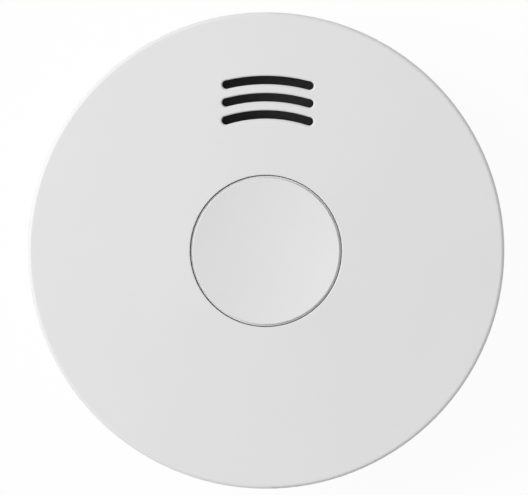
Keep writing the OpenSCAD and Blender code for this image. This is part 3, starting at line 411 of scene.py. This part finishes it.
joints_at = feet("infrared_led", reach=1 * mm) + feet("photodiode", reach=1 * mm)
joints_at += feet("horn_contacts", reach=2.5 * mm) + feet("battery_tabs", reach=4 * mm)
joints_at += pair("indicator_led", apart=2.54 * mm) + pair("horn_coil", apart=5 * mm)
cone_mm = [(0, 0), (0.85, 0), (0.5, 0.12), (0.34, 0.4), (0.3, 0.75), (0.3, 1.1), (0.2, 1.2), (0, 1.2)]
mesh = bmesh.new()
for spot in joints_at:
    line = [mesh.verts.new((spot.x + r * mm, spot.y, board_low.z - drop * mm)) for r, drop in cone_mm]
    edges = [mesh.edges.new(ends) for ends in zip(line, line[1:])]
    bmesh.ops.spin(
        mesh, geom=line + edges, cent=(spot.x, spot.y, 0), axis=(0, 0, 1),
        angle=2 * math.pi, steps=16, use_merge=True,
    )
bmesh.ops.remove_doubles(mesh, verts=mesh.verts, dist=0.001 * mm)
bmesh.ops.recalc_face_normals(mesh, faces=mesh.faces)
for face in mesh.faces:
    face.smooth = True
joint_mesh = bpy.data.meshes.new("solder_joints")
mesh.to_mesh(joint_mesh)
mesh.free()
solder_joints = bpy.data.objects.new("solder_joints", joint_mesh)
bpy.context.scene.collection.objects.link(solder_joints)
tin = (0.7, 0.7, 0.69)
solder = bright_metal("tin_solder", tin, roughness=0.3, stretch=(1800, 1800, 1800), depth=0.01 * mm)
joint_mesh.materials.append(solder)
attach(solder_joints, "head")


# Switches. The test switch stands under the button, and the power switch hangs under the board with
# its slider in the housing's slot. Both are small black nylon mouldings.
black_nylon = moulding(
    "black_nylon", (0.02, 0.02, 0.02), roughness=0.5, drift=0.3,
    grain=7000, depth=0.006 * mm, edge=0.12 * mm,
)
slider_grey = moulding(
    "slider_grey", (0.05, 0.05, 0.055), roughness=0.45, drift=0.25,
    grain=7000, depth=0.005 * mm, edge=0.12 * mm,
)
wears(black_nylon, "test_switch_body", "power_switch_body")
wears(slider_grey, "test_switch_plunger", "power_switch_slider")


# Chips on the board. The controller is a black epoxy package on tinned legs; the small resistors and
# capacitors are ceramic blocks with tinned ends. All are soldered flat on the board.
def tinned(name, colour, roughness, find_ends):
    made, tree, shader = material(name)
    body = grained(tree, colour, roughness, drift=0.2, grain=6000)
    plating = grained(tree, tin, roughness=0.34, drift=0.15, grain=5000)
    ends = find_ends(tree)
    join(tree, [
        (blend(tree, ends, body["Colour"], plating["Colour"]), shader["Base Color"]),
        (blend(tree, ends, body["Roughness"], plating["Roughness"]), shader["Roughness"]),
        (ends, shader["Metallic"]),
        (raised(tree, body["Height"], depth=0.008 * mm), shader["Normal"]),
    ])
    return made


leg_reach = 1 * mm
package_low, package_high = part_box("microcontroller")
package_y = (package_low.y + package_high.y) / 2
package_half_w = (package_high.y - package_low.y) / 2 - leg_reach


def package_legs(tree):
    off = work_out(tree, "SUBTRACT", split(tree, place_on(tree))["Y"], package_y)
    off = work_out(tree, "ABSOLUTE", off)
    return work_out(tree, "GREATER_THAN", off, package_half_w)


epoxy = tinned("epoxy_chip", (0.025, 0.025, 0.027), roughness=0.55, find_ends=package_legs)
wears(epoxy, "microcontroller")

chip_l = 2 * mm
chip_pitch = 3.4 * mm
chip_half_body = 0.62 * mm
chip_corners = [vertex.co for vertex in nodes["chip_parts"].data.vertices]
upper_row_x = min(corner.x for corner in chip_corners if corner.y > 0) + chip_l / 2
lower_row_x = min(corner.x for corner in chip_corners if corner.y <= 0) + chip_l / 2


def chip_ends(tree):
    axes = split(tree, place_on(tree))
    upper = work_out(tree, "GREATER_THAN", axes["Y"], 0)
    first_x = ramp(tree, upper, 0, 1, lower_row_x, upper_row_x)
    along = work_out(tree, "SUBTRACT", axes["X"], first_x)
    off = work_out(tree, "PINGPONG", along, chip_pitch / 2)
    return work_out(tree, "GREATER_THAN", off, chip_half_body)


ceramic = tinned("ceramic_chips", (0.3, 0.22, 0.14), roughness=0.4, find_ends=chip_ends)
wears(ceramic, "chip_parts")


# Can capacitor and horn coil. The capacitor is a drawn aluminium can on a black foot, with a printed
# segment for its minus side. The coil is enamelled copper wire wound on a ferrite drum.
foot_h = 1 * mm
print_t = 0.3 * mm
minus_from = 1.1 * mm
print_black = (0.02, 0.02, 0.022, 1)
can_low, can_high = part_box("storage_capacitor")
can_mid = (can_low + can_high) / 2
drawn_can = bright_metal(
    "drawn_can", (0.75, 0.75, 0.76), roughness=0.3, stretch=(900, 900, 7000), depth=0.003 * mm,
)
tree, shader = opened(drawn_can)
axes = split(tree, place_on(tree))
foot = work_out(tree, "LESS_THAN", axes["Z"], can_low.z + foot_h)
top = work_out(tree, "GREATER_THAN", axes["Z"], can_high.z - print_t)
minus_side = work_out(tree, "LESS_THAN", axes["X"], can_mid.x - minus_from)
minus = work_out(tree, "MULTIPLY", top, minus_side)
dark = work_out(tree, "MAXIMUM", foot, minus)
aluminium = shader["Base Color"].links[0].from_socket
join(tree, [
    (blend(tree, dark, aluminium, print_black), shader["Base Color"]),
    (work_out(tree, "SUBTRACT", 1, dark), shader["Metallic"]),
])
wears(drawn_can, "storage_capacitor")

flange_h = 1 * mm
wire_pitch = 0.28 * mm
wire_depth = 0.1 * mm
painted_groove_shade = (0.16, 0.045, 0.015, 1)
wire_copper = (0.52, 0.19, 0.07, 1)
wire_gloss = 0.28
wire_enamel = 0.6
wire_metal = 0.8
drum_black = (0.035, 0.034, 0.034)
drum_gloss = 0.6
coil_low, coil_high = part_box("horn_coil")
coil, tree, shader = material("wound_coil", Coat_Roughness=0.1)
axes = split(tree, place_on(tree))
above = work_out(tree, "GREATER_THAN", axes["Z"], coil_low.z + flange_h)
below = work_out(tree, "LESS_THAN", axes["Z"], coil_high.z - flange_h)
wire = work_out(tree, "MULTIPLY", above, below)
turn = work_out(tree, "PINGPONG", axes["Z"], wire_pitch / 2)
turn = ramp(tree, turn, 0, wire_pitch / 2)
wound = work_out(tree, "POWER", turn, 0.5)
wound = work_out(tree, "MULTIPLY", wound, wire)
ferrite = grained(tree, drum_black, drum_gloss, drift=0.4, grain=8000)
# The wire is painted darker in the grooves between its turns, as painted shade.
wire_with_painted_shade = blend(tree, turn, painted_groove_shade, wire_copper)
join(tree, [
    (blend(tree, wire, ferrite["Colour"], wire_with_painted_shade), shader["Base Color"]),
    (ramp(tree, wire, 0, 1, drum_gloss, wire_gloss), shader["Roughness"]),
    (ramp(tree, wire, 0, 1, 0, wire_enamel), shader["Coat Weight"]),
    (ramp(tree, wire, 0, 1, 0, wire_metal), shader["Metallic"]),
    (raised(tree, wound, wire_depth), shader["Normal"]),
])
wears(coil, "horn_coil")


# Lamps. The red indicator stands under the button's light guide; the infrared lamp and the dark
# receiver aim into the chamber. All are cast in tinted clear resin.
def cast_resin(name, colour, roughness, through):
    made, tree, shader = material(name, IOR=1.52, Transmission_Weight=through)
    skin = grained(tree, colour, roughness, drift=0.08, grain=2500)
    skin_over(tree, shader, skin, raised(tree, skin["Height"], depth=0.002 * mm))
    return made


red_resin = cast_resin("red_resin", (0.62, 0.03, 0.025), roughness=0.14, through=0.6)
clear_resin = cast_resin("clear_resin", (0.85, 0.87, 0.92), roughness=0.14, through=0.9)
dark_resin = cast_resin("dark_resin", (0.03, 0.02, 0.035), roughness=0.16, through=0.25)
wears(red_resin, "indicator_led")
wears(clear_resin, "infrared_led")
wears(dark_resin, "photodiode")


# Optical chamber. Base and lid are black nylon with a coarse matt grain that swallows stray light.
# The lid's bent vanes keep daylight out, and a fine steel screen round them keeps insects out.
light_trap = moulding(
    "light_trap_nylon", (0.014, 0.014, 0.015), roughness=0.68, drift=0.3,
    grain=4200, depth=0.02 * mm, edge=0.12 * mm,
)
wears(light_trap, "chamber_base", "chamber_cover")
etched = bright_metal(
    "etched_steel", (0.58, 0.58, 0.58), roughness=0.36, stretch=(5000, 5000, 5000), depth=0.004 * mm,
)
wears(etched, "insect_screen")


# Horn. A brass disc with a silvered ceramic layer sits on the cup's shelf, under a resonator cap.
# Three spring contacts press on it from below, and a foam ring seals the cap to the cover.
wears(black_nylon, "horn_housing", "horn_cap")
sheet_brass = bright_metal(
    "sheet_brass", (0.72, 0.5, 0.2), roughness=0.28, stretch=(400, 9000, 400), depth=0.003 * mm,
)
wears(sheet_brass, "piezo_disc")
spring_brass = bright_metal(
    "spring_brass", (0.7, 0.5, 0.22), roughness=0.25, stretch=(3000, 3000, 700), depth=0.003 * mm,
)
wears(spring_brass, "horn_contacts")
silvered = moulding(
    "silvered_ceramic", (0.7, 0.68, 0.62), roughness=0.38, drift=0.1,
    grain=4500, depth=0.005 * mm, edge=0.05 * mm,
)
wears(silvered, "piezo_ceramic")

pore_spread = 2600
pore_depth = 0.12 * mm
painted_pore_shade = (0.018, 0.018, 0.019, 1)
foam_grey = (0.055, 0.055, 0.057, 1)
foam, tree, shader = material("closed_cell_foam", Roughness=0.9)
pores = cells(tree, place_on(tree), pore_spread).outputs["Distance"]
join(tree, [
    # Each pore is painted darker towards its middle, as painted shade in the pores.
    (blend(tree, pores, painted_pore_shade, foam_grey), shader["Base Color"]),
    (raised(tree, pores, pore_depth), shader["Normal"]),
])
wears(foam, "horn_gasket")


# Screws. Three short ones hold the board on the housing's posts, and three longer ones come in from
# the rear and pull the cover down on the inlet ring. All are zinc-plated steel.
zinc = bright_metal(
    "zinc_plated_steel", (0.6, 0.6, 0.59), roughness=0.34, stretch=(2500, 2500, 6000), depth=0.005 * mm,
)
wears(zinc, "board_screws", "cover_screws")


# Smoke inlet. A separate ring of white ABS ribs, moulded in one piece with the same grain as the
# shells. It is clamped between the housing's rim and the cover.
wears(white_abs, "smoke_grille")


# Front cover. The domed face with its rounded edge and three curved sound slots, moulded in white
# ABS with the same fine grain. Its bosses take the three screws from the rear. The edge is turned in
# the mould as a true arc, and its finish follows that arc.

# Turned edge: on the arc, the surface faces straight away from the arc's centre. Reach and Height give
# that centre, and Lead is where the arc runs into the face.
turned, given, out = group(
    "turned_edge",
    [("Normal", "Vector"), ("Reach", "Float"), ("Height", "Float"), ("Lead", "Float")],
    [("Normal", "Vector")],
)
axes = split(turned, place_on(turned))
flat = add(turned, "CombineXYZ", {"X": axes["X"], "Y": axes["Y"]}).outputs[0]
beyond = work_out(turned, "SUBTRACT", distance(turned, flat), given["Reach"])
above = work_out(turned, "SUBTRACT", axes["Z"], given["Height"])
run = work_out(turned, "MAXIMUM", beyond, given["Lead"])
climb = work_out(turned, "MAXIMUM", above, 0)
outward = scaled(turned, work_out_vector(turned, "NORMALIZE", flat), run)
upward = add(turned, "CombineXYZ", {"Z": climb}).outputs[0]
arc = add(
    turned, "VectorTransform", {0: work_out_vector(turned, "ADD", outward, upward)},
    vector_type="NORMAL", convert_from="OBJECT", convert_to="WORLD",
).outputs[0]
blend_w = white_finish["edge"]
beside = work_out(turned, "GREATER_THAN", beyond, -blend_w)
over = work_out(turned, "GREATER_THAN", above, -blend_w)
on_arc = work_out(turned, "MULTIPLY", beside, over)
facing = work_out_vector(turned, "NORMALIZE", blend(turned, on_arc, given["Normal"], arc))
join(turned, [(facing, out["Normal"])])


def with_turned_edge(name, **arc):
    made = moulding(name, **white_finish)
    tree = made.node_tree
    grain_on = tree.nodes["Bump"].inputs["Normal"]
    values = {"Normal": grain_on.links[0].from_socket, **arc}
    join(tree, [(add(tree, "Group", values, node_tree=turned).outputs["Normal"], grain_on)])
    return made


cover_abs = with_turned_edge("cover_abs", Reach=58 * mm, Height=32.565 * mm, Lead=0.067 * mm)
wears(cover_abs, "front_cover")


# Test button and light guide. The button is a dished white ABS disc that clips into the cover's
# collar with three hooks; a clear acrylic rod in it carries the lamp's light.
button_abs = with_turned_edge("button_abs", Reach=18 * mm, Height=35.097 * mm, Lead=-0.02 * mm)
wears(button_abs, "test_button")
acrylic = cast_resin("clear_acrylic", (0.9, 0.92, 0.92), roughness=0.08, through=0.95)
wears(acrylic, "light_guide")


# Studio. The detector lies on its back on a white sheet that shows as plain white and keeps a faint
# shadow. One large soft lamp stands to the upper left, and a white room fills the rest. The sheet
# shows from above only, so that the light from below, which stands for its glow, reaches the part.
def seen_directly(tree):
    rays = add(tree, "LightPath").outputs
    seen = work_out(tree, "MAXIMUM", rays["Is Camera Ray"], rays["Is Glossy Ray"])
    return work_out(tree, "MAXIMUM", seen, rays["Is Transmission Ray"])


sheet_half_w = 3
sheet_drop = 0.05 * mm
seen_white = 0.94
plain_white = (1, 1, 1, 1)
fibre_spread = 900
fibre_dark = (0.86, 0.86, 0.86, 1)
fibre_light = (0.9, 0.9, 0.9, 1)
mesh = bmesh.new()
sheet_place = Matrix.Translation((0, 0, -sheet_drop))
bmesh.ops.create_grid(mesh, x_segments=1, y_segments=1, size=sheet_half_w, matrix=sheet_place)
sheet_mesh = bpy.data.meshes.new("white_sheet")
mesh.to_mesh(sheet_mesh)
mesh.free()
sheet = bpy.data.objects.new("white_sheet", sheet_mesh)
bpy.context.scene.collection.objects.link(sheet)
paper, tree, shader = material("white_paper", Roughness=0.8)
fibre = noise(tree, place_on(tree), fibre_spread)
pulp = blend(tree, fibre, fibre_dark, fibre_light)
output = tree.nodes["Material Output"].inputs["Surface"]
plain = add(tree, "Emission", {"Color": plain_white, "Strength": 1}).outputs[0]
shown = add(tree, "MixShader", {0: seen_white, 1: output.links[0].from_socket, 2: plain}).outputs[0]
above = work_out(tree, "SUBTRACT", 1, add(tree, "NewGeometry").outputs["Backfacing"])
solid = work_out(tree, "MULTIPLY", seen_directly(tree), above)
clear = add(tree, "BsdfTransparent").outputs[0]
join(tree, [
    (pulp, shader["Base Color"]),
    (add(tree, "MixShader", {0: solid, 1: clear, 2: shown}).outputs[0], output),
])
sheet_mesh.materials.append(paper)

glow_below = 0.675
glow_above = 0.45
horizon = 0.02
room = bpy.data.worlds.new("white_room")
bpy.context.scene.world = room
room.use_nodes = True
tree = room.node_tree
way = split(tree, add(tree, "TexCoord").outputs["Generated"])
walls = tree.nodes["Background"]
walls.inputs["Color"].default_value = plain_white
plain = add(tree, "Background", {"Color": plain_white, "Strength": 1}).outputs[0]
shown = add(tree, "MixShader", {0: seen_directly(tree), 1: walls.outputs[0], 2: plain}).outputs[0]
join(tree, [
    (ramp(tree, way["Z"], -horizon, horizon, glow_below, glow_above), walls.inputs["Strength"]),
    (shown, tree.nodes["World Output"].inputs["Surface"]),
])

lamp_far = 10
lamp_lean = math.radians(48)
lamp_turn = math.radians(163)
lamp = bpy.data.lights.new("soft_lamp", "AREA")
lamp.shape = "DISK"
lamp.size = 6.5
lamp.energy = 803
lamp_way = Matrix.Rotation(lamp_turn, 3, "Z") @ Vector((math.sin(lamp_lean), 0, math.cos(lamp_lean)))
lamp_stand = bpy.data.objects.new("soft_lamp", lamp)
lamp_stand.location = lamp_far * lamp_way
lamp_stand.rotation_euler = lamp_way.to_track_quat("Z", "Y").to_euler()
bpy.context.scene.collection.objects.link(lamp_stand)

sight_far = 1455 * mm
aim_x = -0.52 * mm
aim_y = 0.73 * mm
aim_z = 30 * mm
from_right = math.radians(0.5)
from_top = math.radians(-1.5)
roll = math.radians(0.7)
sight = bpy.data.cameras.new("camera")
sight.sensor_width = 36
sight.lens = 400
camera = bpy.data.objects.new("camera", sight)
tilted = Matrix.Rotation(from_right, 4, "Y") @ Matrix.Rotation(from_top, 4, "X")
turned_back = tilted @ Matrix.Rotation(roll, 4, "Z")
stand_off = Matrix.Translation((aim_x, aim_y, sight_far))
camera.matrix_world = Matrix.Translation((0, 0, aim_z)) @ turned_back @ stand_off
bpy.context.scene.collection.objects.link(camera)
bpy.context.scene.camera = camera
bpy.context.scene.view_settings.view_transform = "Standard"
